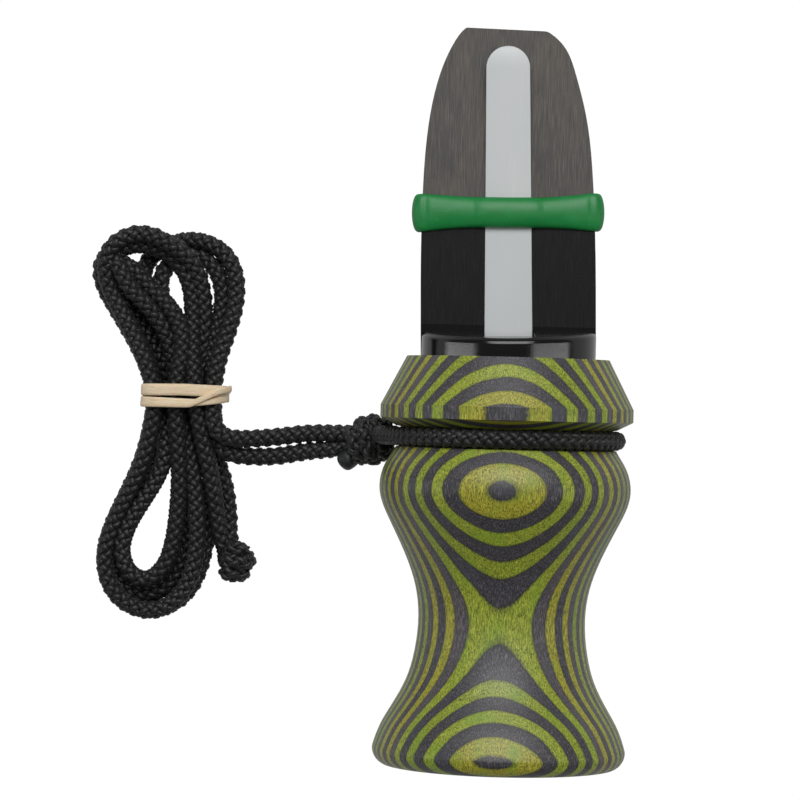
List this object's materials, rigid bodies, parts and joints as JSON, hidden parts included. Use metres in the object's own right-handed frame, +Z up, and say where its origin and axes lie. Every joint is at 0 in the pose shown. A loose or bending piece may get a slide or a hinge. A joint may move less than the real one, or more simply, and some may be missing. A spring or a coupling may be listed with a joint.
{
  "type": "open-reed game call",
  "caption": "Bite-and-blow game call: hourglass laminated wood barrel, plug-in black toneboard, reed under a rubber band, braided lanyard tied in a hank.",
  "frame": {"origin": "under the middle of the call, on the surface that it lies on", "axes": "+Y along the barrel's axis towards the mouthpiece's tip, +Z up, away from the surface, +X to the side away from the lanyard's hank"},
  "size_m": [0.0831, 0.1112, 0.0381],
  "materials": {
    "laminated_wood": "oiled satin, green and charcoal plies",
    "black_plastic": "machined, partly sanded",
    "o_ring_rubber": "greased satin",
    "reed_plastic": "satin",
    "green_rubber": "waxy satin",
    "braided_cord": "braided polyester",
    "tan_latex": "matte"
  },
  "bodies": {
    "barrel": {"barrel": "laminated_wood", "lanyard_loop": "braided_cord", "lanyard_knot": "braided_cord", "lanyard_tail": "braided_cord", "lanyard_leg_upper": "braided_cord", "lanyard_leg_lower": "braided_cord", "lanyard_hank": "braided_cord", "hank_tie": "tan_latex", "lanyard_end_knot": "braided_cord"},
    "o_rings": {"o_ring_front": "o_ring_rubber", "o_ring_rear": "o_ring_rubber"},
    "mouthpiece": {"mouthpiece": "black_plastic"},
    "reed_foot": {"reed_foot": "reed_plastic"},
    "reed_tongue": {"reed_tongue": "reed_plastic"},
    "reed_band": {"reed_band": "green_rubber"}
  },
  "joints": [
    {"name": "mouthpiece_pull", "type": "slide", "parent": "barrel", "child": "o_rings", "axis": [0, 1, 0], "range_m": [0, 0.025]},
    {"name": "mouthpiece_turn", "type": "hinge", "parent": "o_rings", "child": "mouthpiece", "pos_m": [0, 0.00575, 0.01905], "axis": [0, 1, 0], "continuous": true},
    {"name": "band_slide", "type": "slide", "parent": "mouthpiece", "child": "reed_band", "axis": [-0.0262, 0.9997, 0], "range_m": [-0.008, 0.003]},
    {"name": "reed_slide", "type": "slide", "parent": "mouthpiece", "child": "reed_foot", "axis": [-0.0262, 0.9997, 0], "range_m": [0, 0.0025]},
    {"name": "reed_bend", "type": "hinge", "parent": "reed_foot", "child": "reed_tongue", "pos_m": [-0.00063, 0.02974, 0.01907], "axis": [-0.9997, -0.0262, 0], "range_deg": [0, 3.4], "stiffness_Nm_per_rad": 0.014}
  ]
}
